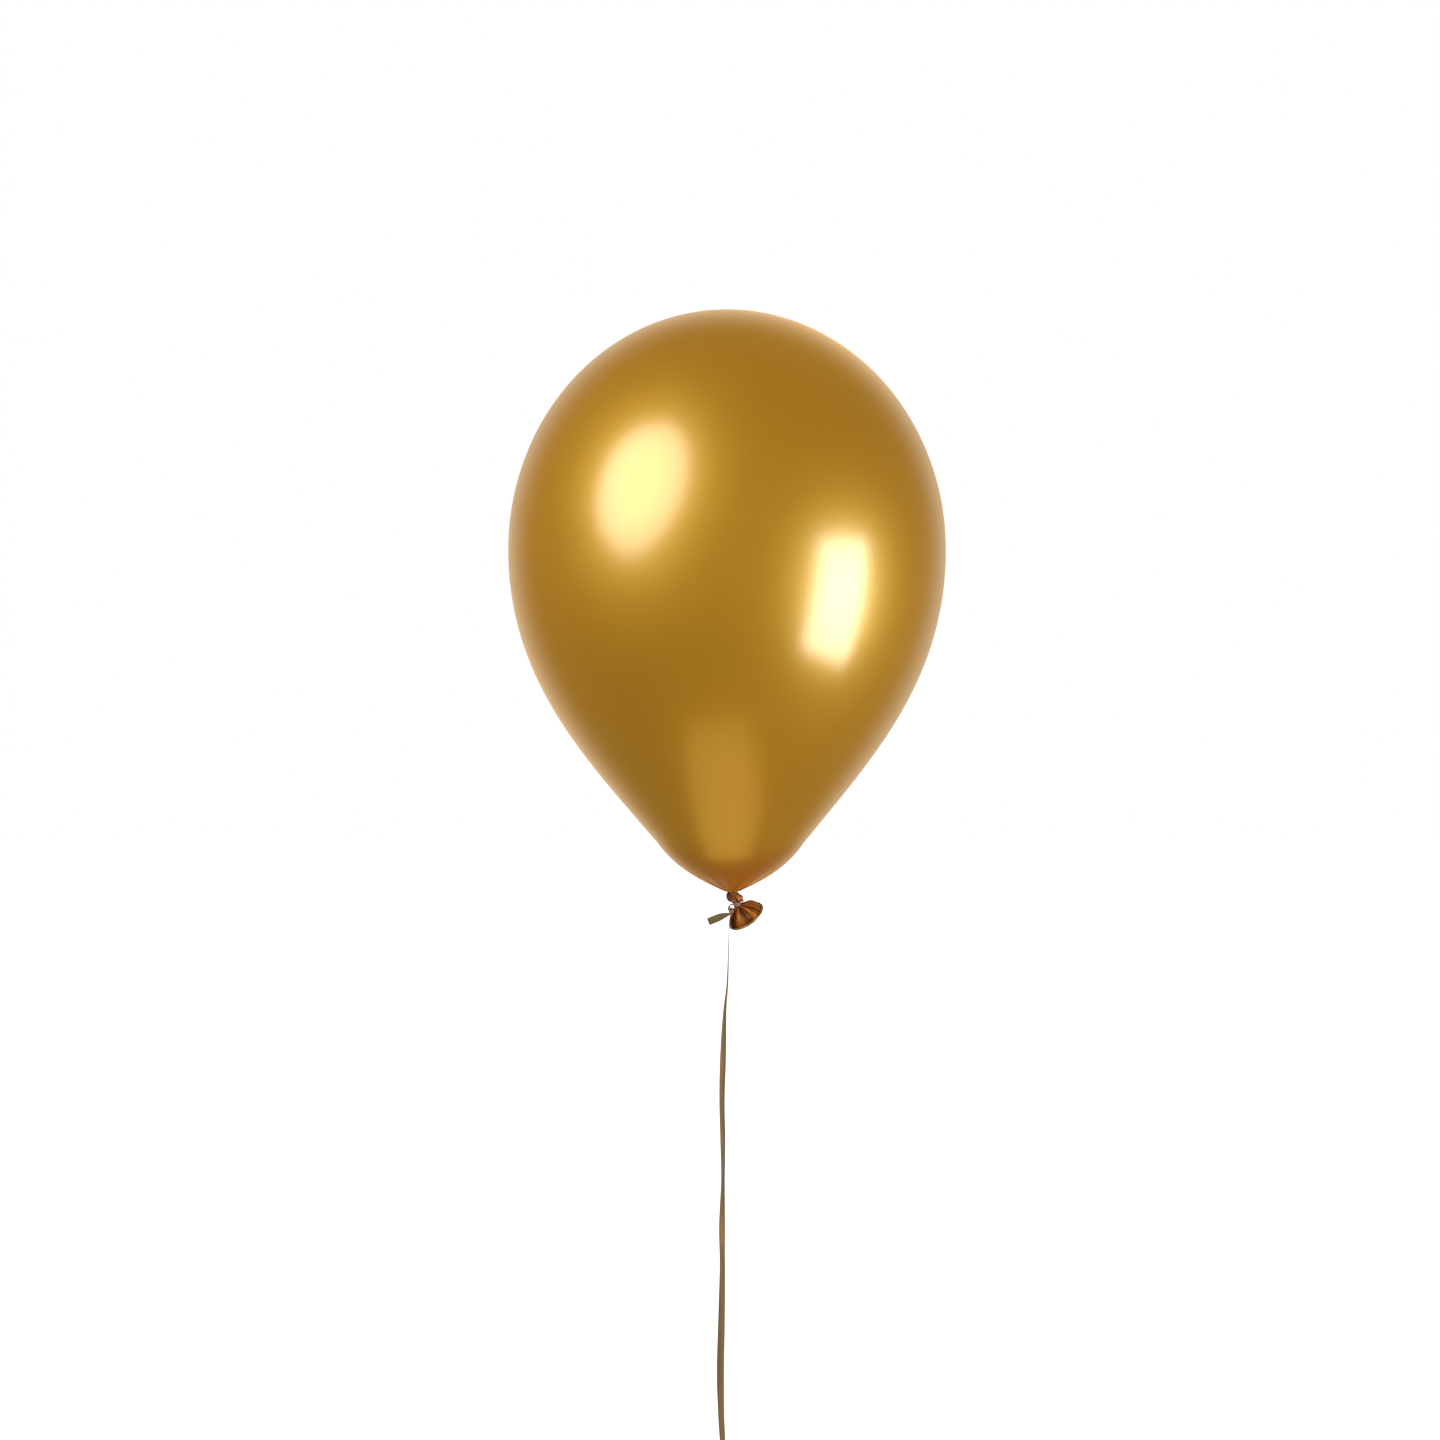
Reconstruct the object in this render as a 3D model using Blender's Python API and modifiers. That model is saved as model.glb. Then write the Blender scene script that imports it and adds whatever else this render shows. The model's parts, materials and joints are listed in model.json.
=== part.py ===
"""Latex party balloon, knotted at the neck, with a curling ribbon tied below the knot.

The origin is the middle of the crown, the top of the balloon, and +Z points up out of it.
Everything else hangs below: the envelope, its knotted neck, the flared mouth and the ribbon,
which ends in a hand loop. The balloon faces -Y, and its mouth and ribbon tail point to +X and -X.
All lengths are in metres.
"""

import math

import bmesh
import bpy
from mathutils import Vector

MM = 0.001
AIR_GAP = 0.3 * MM

# Envelope: an ellipse above the widest ring, and three curved spans below it
BALLOON_RADIUS = 140 * MM
CROWN_HEIGHT = 153.6 * MM
CROWN_FLAT_RADIUS = 5 * MM
LATEX_WALL = 0.25 * MM
NECK_HOLE_RADIUS = 1.3 * MM
NECK_END_RADIUS = 5.2 * MM
NECK_END_Z = -373.4 * MM
NECK_OFFSET = 3.2 * MM
ENVELOPE_STEPS = 48

# Knot in the neck, and the bare stem of gathered latex that leaves it low on its right
KNOT_X = 5.2 * MM
STEM_X = 6.4 * MM
KNOT_TOP_Z = NECK_END_Z - 0.2 * MM - AIR_GAP
KNOT_TOP_RADIUS = 2.6 * MM
KNOT_RADIUS = 5.3 * MM
KNOT_HEIGHT = 5.6 * MM
STEM_RADIUS = 1.6 * MM
STEM_END_Z = -382.0 * MM

# Flared mouth below the stem, with its rolled rim; it leans to +X and tips back from the front
MOUTH_PIVOT = Vector((7.6 * MM, 0, -381.6 * MM))
MOUTH_LEAN = math.radians(-36)
MOUTH_TIP = math.radians(23.6)
THROAT_RADIUS = 1.7 * MM
THROAT_DEPTH = 1.8 * MM
MOUTH_RADIUS = 10.3 * MM
MOUTH_DEPTH = 8.0 * MM
MOUTH_WALL = 0.5 * MM
BEAD_RADIUS = 1.1 * MM

# Ribbon: 5 mm wide tape; where it hangs free it is stood for by a thin round cord
RIBBON_WIDTH = 4.8 * MM
RIBBON_THICKNESS = 0.4 * MM
CORD_RADIUS = 0.8 * MM
CORD_SPACING = 4.6 * MM
WRAP_TURNS = 2
WRAP_CORD_RADIUS = 0.4 * MM
WRAP_PITCH = 1.0 * MM
WRAP_TOP_Z = -379.7 * MM
TIE_KNOT_CENTRE = Vector((3.0 * MM, -2.4 * MM, -384.2 * MM))
TIE_KNOT_RADIUS = 1.5 * MM
TAIL_ROOT = Vector((2.2 * MM, -4.3 * MM, -386.3 * MM))
TAIL_LENGTH = 14.8 * MM
TAIL_DROOP = math.radians(19.5)

# Free run of the ribbon, from the tie down to the knot of the hand loop (x, y, z in millimetres)
RIBBON_ROUTE_MM = (
    (2.5, -2.4, -386.1),
    (1.6, -2.6, -390.0),
    (1.2, -2.7, -397.0),
    (0.6, -2.0, -414.0),
    (0.0, -1.0, -432.0),
    (-1.5, 0.4, -450.0),
    (-2.6, 1.5, -480.0),
    (-3.2, 2.4, -506.0),
    (-2.7, 3.0, -532.0),
    (-2.6, 2.7, -557.0),
    (-3.2, 1.8, -586.0),
    (-3.0, 0.6, -612.0),
    (-3.5, -0.6, -645.0),
    (-4.2, -1.2, -678.0),
    (-3.8, -0.8, -704.0),
    (-2.9, -0.2, -724.0),
    (-2.4, 0.0, -738.5),
)

# Hand loop at the ribbon's lower end
LOOP_KNOT_CENTRE = Vector((-2.4 * MM, 0, -741.1 * MM))
LOOP_KNOT_RADIUS = 2.3 * MM
LOOP_LENGTH = 48 * MM
LOOP_HALF_WIDTH = 16 * MM
LOOP_POINTS = 36
LOOP_END_LENGTH = 22 * MM
LOOP_END_Y = -3.4 * MM


def clear_scene():
    for obj in list(bpy.data.objects):
        bpy.data.objects.remove(obj, do_unlink=True)


def new_collection(name):
    collection = bpy.data.collections.new(name)
    bpy.context.scene.collection.children.link(collection)
    return collection


def new_material(name, colour, roughness, metallic):
    material = bpy.data.materials.new(name)
    material.use_nodes = True
    shader = material.node_tree.nodes["Principled BSDF"]
    shader.inputs["Base Color"].default_value = (*colour, 1)
    shader.inputs["Roughness"].default_value = roughness
    shader.inputs["Metallic"].default_value = metallic
    return material


def add_object(name, data, material, location=(0, 0, 0), rotation=(0, 0, 0)):
    obj = bpy.data.objects.new(name, data)
    obj.location = location
    obj.rotation_euler = rotation
    obj.data.materials.append(material)
    PARTS.objects.link(obj)
    return obj


def bezier(start, leave, arrive, end, steps):
    """Points along one cubic span, without its first."""
    points = []
    for step in range(1, steps + 1):
        t = step / steps
        s = 1 - t
        weights = (s**3, 3 * t * s * s, 3 * t * t * s, t**3)
        corners = (start, leave, arrive, end)
        points.append(tuple(sum(w * c[k] for w, c in zip(weights, corners)) for k in (0, 1)))
    return points


def smooth_route(route, spacing):
    """Evenly spaced points on a smooth curve through the points of a route."""
    ends = [2 * route[0] - route[1], *route, 2 * route[-1] - route[-2]]
    fine = []
    for p0, p1, p2, p3 in zip(ends, ends[1:], ends[2:], ends[3:]):
        for step in range(20):
            t = step / 20
            bend = 2 * p0 - 5 * p1 + 4 * p2 - p3
            twist = 3 * (p1 - p2) + p3 - p0
            fine.append(p1 + t * (p2 - p0) / 2 + t * t * bend / 2 + t**3 * twist / 2)
    fine.append(route[-1])
    length = sum((b - a).length for a, b in zip(fine, fine[1:]))
    count = round(length / spacing)
    points, walked, target = [fine[0]], 0, length / count
    for a, b in zip(fine, fine[1:]):
        step = (b - a).length
        while walked + step >= target and len(points) < count:
            points.append(a.lerp(b, (target - walked) / step))
            target += length / count
        walked += step
    return [*points, fine[-1]]


def turned_mesh(name, profile):
    """A profile of (radius, height) points, as loose edges for a Screw modifier."""
    mesh = bpy.data.meshes.new(name)
    edges = [(k, k + 1) for k in range(len(profile) - 1)]
    mesh.from_pydata([(radius, 0, height) for radius, height in profile], edges, [])
    return mesh


def add_screw(obj, steps):
    screw = obj.modifiers.new("Turn", "SCREW")
    screw.axis = "Z"
    screw.steps = steps
    screw.render_steps = steps
    screw.use_merge_vertices = True
    screw.merge_threshold = 0.00001
    screw.use_smooth_shade = True


def add_wall(obj, thickness):
    wall = obj.modifiers.new("Wall", "SOLIDIFY")
    wall.thickness = thickness
    wall.offset = -1
    wall.use_even_offset = True


def cord_curve(name, points, radius, cyclic=False):
    curve = bpy.data.curves.new(name, "CURVE")
    curve.dimensions = "3D"
    curve.bevel_depth = radius
    curve.bevel_resolution = 2
    curve.use_fill_caps = not cyclic
    spline = curve.splines.new("POLY")
    spline.points.add(len(points) - 1)
    for knot, point in zip(spline.points, points):
        knot.co = (*point, 1)
    spline.use_cyclic_u = cyclic
    return curve


def tape_curve(name, length):
    """A flat length of ribbon that runs from its root along -X, with its end cut aslant."""
    curve = bpy.data.curves.new(name, "CURVE")
    curve.dimensions = "2D"
    curve.fill_mode = "BOTH"
    curve.extrude = RIBBON_THICKNESS / 2
    half = RIBBON_WIDTH / 2
    outline = (
        (0, -0.3 * half),
        (0, 0.3 * half),
        (-0.35 * length, half),
        (-length, half),
        (-0.93 * length, -half),
        (-0.35 * length, -half),
    )
    spline = curve.splines.new("POLY")
    spline.points.add(len(outline) - 1)
    for knot, (x, y) in zip(spline.points, outline):
        knot.co = (x, y, 0, 1)
    spline.use_cyclic_u = True
    return curve


def envelope_profile():
    """Outer outline of the inflated latex, from the crown down to the edge of the neck hole."""
    profile = [(0, 0), (CROWN_FLAT_RADIUS, 0)]
    start = math.asin(CROWN_FLAT_RADIUS / BALLOON_RADIUS)
    rise = CROWN_HEIGHT * math.cos(start)
    for step in range(1, 15):
        angle = start + (math.pi / 2 - start) * step / 14
        profile.append((BALLOON_RADIUS * math.sin(angle), CROWN_HEIGHT * math.cos(angle) - rise))
    widest = profile[-1]
    cone = (48.3 * MM, -339.2 * MM)
    shoulder = (14.1 * MM, -367.4 * MM)
    neck = (NECK_END_RADIUS, NECK_END_Z)
    profile += bezier(widest, (widest[0], -237.8 * MM), (90.3 * MM, -288.5 * MM), cone, 12)
    profile += bezier(cone, (45.6 * MM, -342.4 * MM), (37.7 * MM, -356.7 * MM), shoulder, 6)
    profile += bezier(shoulder, (11.8 * MM, -368.5 * MM), (6.6 * MM, -371.4 * MM), neck, 4)
    return [*profile, (NECK_HOLE_RADIUS, NECK_END_Z - 0.2 * MM)]


def lean_aside(obj, top, bottom, offset):
    """Applies the modifiers, then shifts what is below top along +X, all the way from bottom down."""
    graph = bpy.context.evaluated_depsgraph_get()
    mesh = bpy.data.meshes.new_from_object(obj.evaluated_get(graph))
    for vertex in mesh.vertices:
        share = max(0, top - vertex.co.z) / (top - bottom)
        vertex.co.x += offset * min(share, 1) ** 2
    obj.modifiers.clear()
    obj.data = mesh


def make_envelope():
    """The inflated skin, whose lower half leans to where the knot pulls the neck."""
    obj = add_object("envelope", turned_mesh("envelope", envelope_profile()), GOLD_LATEX)
    add_screw(obj, ENVELOPE_STEPS)
    add_wall(obj, LATEX_WALL)
    lean_aside(obj, -CROWN_HEIGHT, NECK_END_Z, NECK_OFFSET)


def make_neck_knot():
    """The overhand knot, a lump of rolled latex, with the stem that comes out below it."""
    top = (KNOT_TOP_RADIUS, KNOT_TOP_Z)
    widest = (KNOT_RADIUS, KNOT_TOP_Z - 0.45 * KNOT_HEIGHT)
    waist = (STEM_RADIUS, KNOT_TOP_Z - KNOT_HEIGHT)
    profile = [(0, KNOT_TOP_Z), top]
    profile += bezier(top, (4.2 * MM, top[1]), (KNOT_RADIUS, top[1] - 1 * MM), widest, 5)
    profile += bezier(widest, (KNOT_RADIUS, -378.2 * MM), (3.4 * MM, -379.2 * MM), waist, 5)
    profile += [(STEM_RADIUS, STEM_END_Z), (0, STEM_END_Z)]
    obj = add_object("neck_knot", turned_mesh("neck_knot", profile), DARK_LATEX, (KNOT_X, 0, 0))
    add_screw(obj, 20)
    lean_aside(obj, widest[1], waist[1], STEM_X - KNOT_X)


def make_mouth():
    """The flared skirt and the rolled bead on its rim, both turned about the mouth's own axis."""
    turn = (MOUTH_TIP, MOUTH_LEAN, 0)
    throat = (THROAT_RADIUS, -THROAT_DEPTH)
    rim = (MOUTH_RADIUS, -MOUTH_DEPTH)
    skirt = [throat, *bezier(throat, (2.3 * MM, -3.6 * MM), (5.4 * MM, -6.2 * MM), rim, 6)]
    obj = add_object("mouth_skirt", turned_mesh("mouth_skirt", skirt), DARK_LATEX, MOUTH_PIVOT, turn)
    add_screw(obj, 28)
    add_wall(obj, MOUTH_WALL)

    reach = BEAD_RADIUS + AIR_GAP
    centre = Vector((MOUTH_RADIUS + 0.8 * reach, -MOUTH_DEPTH - 0.6 * reach))
    ring = []
    for step in range(9):
        angle = 2 * math.pi * step / 8
        ring.append(centre + BEAD_RADIUS * Vector((math.cos(angle), -math.sin(angle))))
    bead = add_object("mouth_bead", turned_mesh("mouth_bead", ring), DARK_LATEX, MOUTH_PIVOT, turn)
    add_screw(bead, 28)


def make_ribbon_wrap():
    """The turns of ribbon pulled tight round the stem, as one short coil."""
    radius = STEM_RADIUS + AIR_GAP + WRAP_CORD_RADIUS
    steps = 16 * WRAP_TURNS
    points = []
    for step in range(steps + 1):
        angle = math.pi + 2 * math.pi * WRAP_TURNS * step / steps
        height = -WRAP_PITCH * WRAP_TURNS * step / steps
        points.append((radius * math.cos(angle), radius * math.sin(angle), height))
    curve = cord_curve("ribbon_wrap", points, WRAP_CORD_RADIUS)
    add_object("ribbon_wrap", curve, RIBBON, (STEM_X, 0, WRAP_TOP_Z))


def make_ribbon_lump(name, centre, radius):
    """A pulled-tight overhand knot in the ribbon, as a plain rounded lump."""
    mesh = bpy.data.meshes.new(name)
    lump = bmesh.new()
    bmesh.ops.create_icosphere(lump, subdivisions=2, radius=radius)
    lump.to_mesh(mesh)
    lump.free()
    add_object(name, mesh, RIBBON, centre)


def make_ribbon_tail():
    curve = tape_curve("ribbon_tail", TAIL_LENGTH)
    add_object("ribbon_tail", curve, RIBBON, TAIL_ROOT, (math.pi / 2, -TAIL_DROOP, 0))


def make_ribbon_run():
    route = [Vector(point) * MM - TIE_KNOT_CENTRE for point in RIBBON_ROUTE_MM]
    curve = cord_curve("ribbon_run", smooth_route(route, CORD_SPACING), CORD_RADIUS)
    add_object("ribbon_run", curve, RIBBON, TIE_KNOT_CENTRE)


def make_hand_loop():
    """A hanging teardrop of ribbon, narrow at its knot and round at the bottom."""
    top = -LOOP_KNOT_RADIUS - AIR_GAP - CORD_RADIUS
    points = []
    for step in range(LOOP_POINTS):
        angle = 2 * math.pi * step / LOOP_POINTS
        across = LOOP_HALF_WIDTH * math.sin(angle) * math.sin(angle / 2)
        down = LOOP_LENGTH * (1 - math.cos(angle)) / 2
        points.append((across, 0, top - down))
    curve = cord_curve("hand_loop", points, CORD_RADIUS, cyclic=True)
    add_object("hand_loop", curve, RIBBON, LOOP_KNOT_CENTRE)


def make_loop_end():
    """The cut end of the ribbon that the loop's knot leaves over, hanging in front of the loop."""
    curve = tape_curve("loop_end", LOOP_END_LENGTH)
    place = LOOP_KNOT_CENTRE + Vector((0, LOOP_END_Y, 0))
    add_object("loop_end", curve, RIBBON, place, (math.pi / 2, -math.pi / 2, 0))


clear_scene()
PARTS = new_collection("latex_balloon")
GOLD_LATEX = new_material("gold_latex", (0.47, 0.24, 0.03), 0.3, 0.8)
DARK_LATEX = new_material("dark_latex", (0.27, 0.09, 0.02), 0.4, 0.4)
RIBBON = new_material("ribbon", (0.36, 0.28, 0.17), 0.35, 0.3)
make_envelope()
make_neck_knot()
make_mouth()
make_ribbon_wrap()
make_ribbon_lump("ribbon_knot", TIE_KNOT_CENTRE, TIE_KNOT_RADIUS)
make_ribbon_tail()
make_ribbon_run()
make_ribbon_lump("loop_knot", LOOP_KNOT_CENTRE, LOOP_KNOT_RADIUS)
make_hand_loop()
make_loop_end()
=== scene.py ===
"""A gold latex party balloon, tied with a champagne curling ribbon that ends in a hand loop.

Lengths are in metres. The crown is at the origin and everything hangs below it, along -Z; the
front is -Y. Each section makes one piece, or one group of like pieces, from the crown downwards.
"""

import json
import math
import bpy
from mathutils import Euler, Matrix, Vector, noise


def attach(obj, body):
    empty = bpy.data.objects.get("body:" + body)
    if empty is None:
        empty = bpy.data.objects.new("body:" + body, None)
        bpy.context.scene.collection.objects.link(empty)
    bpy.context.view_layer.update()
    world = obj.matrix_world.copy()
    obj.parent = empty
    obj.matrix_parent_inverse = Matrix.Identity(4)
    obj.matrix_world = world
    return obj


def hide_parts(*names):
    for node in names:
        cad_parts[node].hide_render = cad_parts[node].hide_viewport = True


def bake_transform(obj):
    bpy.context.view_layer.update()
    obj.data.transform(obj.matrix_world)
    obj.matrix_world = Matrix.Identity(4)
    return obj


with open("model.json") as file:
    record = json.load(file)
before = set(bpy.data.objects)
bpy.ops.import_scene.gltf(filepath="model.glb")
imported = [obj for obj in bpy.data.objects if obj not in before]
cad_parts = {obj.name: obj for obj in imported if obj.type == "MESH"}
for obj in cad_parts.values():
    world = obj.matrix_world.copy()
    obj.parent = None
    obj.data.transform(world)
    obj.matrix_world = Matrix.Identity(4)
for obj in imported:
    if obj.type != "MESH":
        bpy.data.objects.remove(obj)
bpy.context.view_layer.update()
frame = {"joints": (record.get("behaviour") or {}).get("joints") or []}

# ---------------------------------------------------------------- The inflated skin
# One dipped latex moulding, blown up until its wall is a few hundredths of a millimetre thick. It is
# nearly round above its widest ring, runs in to a cone below it, and gathers into fine pleats where
# the knot grips the neck. The pigment is a gold pearl flake under the glossy skin of the latex.
MM = 0.001
SKIN_RADIUS = 140 * MM
SKIN_CROWN_HEIGHT = 153.6 * MM
SKIN_SIDES = 128
CROWN_STEPS = 29
CROWN_RING = 3 * MM
# The outline below the widest ring, as curved spans: two handles and an end, each a radius and a
# height in millimetres, and the number of steps
SKIN_SPANS = (
    ((140, -237.8), (90.3, -288.5), (48.3, -339.2), 30),
    ((45.6, -342.4), (37.7, -356.7), (14.1, -367.4), 12),
    ((11.8, -368.5), (6.8, -370.9), (5.4, -371.6), 6),
    ((4.6, -372.0), (3.0, -372.5), (0.6, -372.7), 4),
)
NECK_SHIFT = 3.2 * MM
NECK_DROP = 373.4 * MM - SKIN_CROWN_HEIGHT
NECK_PLEATS = 15
NECK_PLEAT_DEPTH = 0.055
NECK_PLEAT_TOP = -360 * MM
NECK_PLEAT_END = -374 * MM
NECK_THICK_TOP = -334 * MM
NECK_DULL_TOP = -346 * MM
NECK_THICK_END = -370 * MM
GOLD = (0.262, 0.108, 0.0006)
GOLD_SHADE = (0.222, 0.087, 0.0004)
GOLD_THICK = (0.210, 0.019, 0.0004)


def millimetres(lengths):
    return tuple(length * MM for length in lengths)


def curved_span(start, leave, arrive, end, steps):
    """Points along one curved span of an outline, without its first."""
    handles = [Vector(place) for place in (start, leave, arrive, end)]
    points = []
    for step in range(1, steps + 1):
        t = step / steps
        s = 1 - t
        weights = (s**3, 3 * t * s * s, 3 * t * t * s, t**3)
        points.append(sum((w * handle for w, handle in zip(weights, handles)), Vector((0, 0))))
    return points


def select_only(piece):
    bpy.ops.object.select_all(action="DESELECT")
    bpy.context.view_layer.objects.active = piece
    piece.select_set(True)


def turned_shell(name, outline, sides, shift=None):
    """A round shell drawn out of a small ring, step by step, along an outline of (radius, height).

    shift, where it is given, says how far aside the shell's middle is at a height.
    """
    bpy.ops.object.select_all(action="DESELECT")
    radius, height = outline[0]
    bpy.ops.mesh.primitive_circle_add(vertices=sides, radius=radius, location=(0, 0, height))
    shell = bpy.context.object
    shell.name = name
    bpy.ops.object.transform_apply(location=True)
    bpy.ops.object.mode_set(mode="EDIT")
    aside = 0
    for next_radius, next_height in outline[1:]:
        next_aside = shift(next_height) if shift else 0
        move = (next_aside - aside, 0, next_height - height)
        bpy.ops.mesh.extrude_region_move(TRANSFORM_OT_translate={"value": move})
        grow = next_radius / radius
        bpy.ops.transform.resize(value=(grow, grow, 1), center_override=(next_aside, 0, next_height))
        radius, height, aside = next_radius, next_height, next_aside
    bpy.ops.object.mode_set(mode="OBJECT")
    return shell


def close_ring(piece, height, sides):
    """Fills the open ring of a shell at this height with a grid of small faces."""
    select_only(piece)
    bpy.ops.object.mode_set(mode="EDIT")
    bpy.ops.mesh.select_all(action="DESELECT")
    bpy.ops.object.mode_set(mode="OBJECT")
    for vertex in piece.data.vertices:
        vertex.select = abs(vertex.co.z - height) < 0.001 * MM
    bpy.ops.object.mode_set(mode="EDIT")
    bpy.ops.mesh.fill_grid(span=sides // 4)
    bpy.ops.object.mode_set(mode="OBJECT")


def face_outwards(piece):
    """Turns every face of a closed piece outwards and shades it smooth."""
    select_only(piece)
    bpy.ops.object.mode_set(mode="EDIT")
    bpy.ops.mesh.select_all(action="SELECT")
    bpy.ops.mesh.normals_make_consistent(inside=False)
    bpy.ops.object.mode_set(mode="OBJECT")
    bpy.ops.object.shade_smooth()


def apply_modifier(piece, kind, **settings):
    """Adds one modifier with these settings and applies it."""
    select_only(piece)
    bpy.ops.object.modifier_add(type=kind)
    modifier = piece.modifiers[-1]
    for key, value in settings.items():
        setattr(modifier, key, value)
    bpy.ops.object.modifier_apply(modifier=modifier.name)


def fade(value, start, end):
    """0 before start, 1 past end, and smooth between them."""
    t = min(max((value - start) / (end - start), 0), 1)
    return t * t * (3 - 2 * t)


def neck_aside(height):
    """How far the skin's middle has moved to the right at a height, for a neck that hangs off centre."""
    share = max(0, (-SKIN_CROWN_HEIGHT - height) / NECK_DROP)
    return NECK_SHIFT * share**2


skin_outline = []
for step in range(CROWN_STEPS + 1):
    share = step / CROWN_STEPS
    angle = math.asin(CROWN_RING / SKIN_RADIUS) * (1 - share) + math.pi / 2 * share
    drop = SKIN_CROWN_HEIGHT * (1 - math.cos(angle))
    skin_outline.append(Vector((SKIN_RADIUS * math.sin(angle), -drop)))
span_start = (SKIN_RADIUS, -SKIN_CROWN_HEIGHT)
for leave, arrive, stop, steps in SKIN_SPANS:
    span_end = millimetres(stop)
    skin_outline += curved_span(span_start, millimetres(leave), millimetres(arrive), span_end, steps)
    span_start = span_end
inflated_skin = turned_shell("inflated_skin", skin_outline, SKIN_SIDES, neck_aside)
for vertex in inflated_skin.data.vertices:
    centre = Vector((neck_aside(vertex.co.z), 0, vertex.co.z))
    out = vertex.co - centre
    angle = math.atan2(out.y, out.x)
    pleat = math.cos(NECK_PLEATS * angle + 1.7 * math.sin(2 * angle)) + 0.5 * math.cos(7 * angle + 1)
    depth = NECK_PLEAT_DEPTH * fade(-vertex.co.z, -NECK_PLEAT_TOP, -NECK_PLEAT_END)
    vertex.co = centre + out * (1 + depth * pleat)
for ring_height in (skin_outline[0].y, skin_outline[-1].y):
    close_ring(inflated_skin, ring_height, SKIN_SIDES)
apply_modifier(inflated_skin, "SUBSURF", levels=1, render_levels=1)
face_outwards(inflated_skin)


def new_material(name, shader_values):
    """A material whose Principled shader has these plain values; returns it with its nodes."""
    material = bpy.data.materials.new(name)
    material.use_nodes = True
    nodes = material.node_tree.nodes
    for socket, value in shader_values.items():
        nodes["Principled BSDF"].inputs[socket].default_value = value
    return material, nodes, material.node_tree.links


def map_range(nodes, links, value, limits, interpolation="LINEAR"):
    """The result of a map range node, whose ends stay 0 and 1 where no limit is given."""
    mapped = nodes.new("ShaderNodeMapRange")
    mapped.interpolation_type = interpolation
    for socket, limit in limits.items():
        mapped.inputs[socket].default_value = limit
    links.new(value, mapped.inputs["Value"])
    return mapped.outputs["Result"]


def noise_texture(nodes, links, place, detail, scale=1):
    texture = nodes.new("ShaderNodeTexNoise")
    texture.inputs["Scale"].default_value = scale
    texture.inputs["Detail"].default_value = detail
    links.new(place, texture.inputs["Vector"])
    return texture


# A mix node has inputs and outputs for every kind of value: these are the two ends and the result
MIX_SOCKETS = {"FLOAT": (2, 3, 0), "RGBA": (6, 7, 2)}


def mixed(nodes, links, kind, share, first, second):
    """The result of a mix node; first and second are plain values or other nodes' outputs."""
    mix = nodes.new("ShaderNodeMix")
    mix.data_type = kind
    links.new(share, mix.inputs["Factor"])
    first_end, second_end, result = MIX_SOCKETS[kind]
    for end, value in ((first_end, first), (second_end, second)):
        if isinstance(value, bpy.types.NodeSocket):
            links.new(value, mix.inputs[end])
        else:
            mix.inputs[end].default_value = value
    return mix.outputs[result]


def bumped(nodes, links, strength, height, distance):
    bump = nodes.new("ShaderNodeBump")
    bump.inputs["Distance"].default_value = distance
    links.new(strength, bump.inputs["Strength"])
    links.new(height, bump.inputs["Height"])
    return bump.outputs["Normal"]


def finish_group(name, colours, values):
    """A node group with these inputs that puts out a colour, a roughness and a normal."""
    group = bpy.data.node_groups.new(name, "ShaderNodeTree")
    sockets = [(socket, "INPUT", "Color") for socket in colours]
    sockets += [(socket, "INPUT", "Float") for socket in values]
    results = (("Colour", "Color"), ("Roughness", "Float"), ("Normal", "Vector"))
    sockets += [(socket, "OUTPUT", kind) for socket, kind in results]
    for socket, side, kind in sockets:
        group.interface.new_socket(socket, in_out=side, socket_type=f"NodeSocket{kind}")
    return group, group.nodes.new("NodeGroupInput"), group.nodes.new("NodeGroupOutput")


def use_finish(nodes, links, group, values):
    """Places a finish group in a material with these values and joins it to the shader."""
    finish = nodes.new("ShaderNodeGroup")
    finish.node_tree = group
    for socket, value in values.items():
        finish.inputs[socket].default_value = value
    shader = nodes["Principled BSDF"]
    for output, socket in (("Colour", "Base Color"), ("Roughness", "Roughness"), ("Normal", "Normal")):
        links.new(finish.outputs[output], shader.inputs[socket])
    return finish


def latex_finish_group():
    """Pearl flake and cloud in the colour, painted shade where a piece asks for it, a soft orange peel in
    the surface, for all the latex.
    """
    group, start, end = finish_group(
        "latex_finish", ("Colour", "Shade"), ("Cloud", "Cloud Scale", "Peel", "Painted Shade")
    )
    nodes, links = group.nodes, group.links
    place = nodes.new("ShaderNodeTexCoord").outputs["Object"]
    cloud = noise_texture(nodes, links, place, detail=2)
    links.new(start.outputs["Cloud Scale"], cloud.inputs["Scale"])
    flake = noise_texture(nodes, links, place, detail=3, scale=900)
    flake_share = 0.35
    both = nodes.new("ShaderNodeMath")
    both.operation = "MULTIPLY_ADD"
    links.new(flake.outputs["Fac"], both.inputs[0])
    both.inputs[1].default_value = flake_share
    links.new(cloud.outputs["Fac"], both.inputs[2])
    spread = map_range(nodes, links, both.outputs[0], {"From Min": 0.45, "From Max": 0.95})
    # The shade colour's share: random cloud and flake, plus painted shade from the last input
    share = nodes.new("ShaderNodeMath")
    share.operation = "MULTIPLY_ADD"
    share.use_clamp = True
    links.new(spread, share.inputs[0])
    links.new(start.outputs["Cloud"], share.inputs[1])
    links.new(start.outputs["Painted Shade"], share.inputs[2])
    shaded = mixed(nodes, links, "RGBA", share.outputs[0], start.outputs["Colour"], start.outputs["Shade"])
    links.new(shaded, end.inputs["Colour"])
    gloss = map_range(nodes, links, flake.outputs["Fac"], {"To Min": 0.44, "To Max": 0.50})
    links.new(gloss, end.inputs["Roughness"])
    peel = noise_texture(nodes, links, place, detail=1, scale=300)
    normal = bumped(nodes, links, start.outputs["Peel"], peel.outputs["Fac"], 0.05 * MM)
    links.new(normal, end.inputs["Normal"])
    return group


LATEX_FINISH = latex_finish_group()


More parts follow.
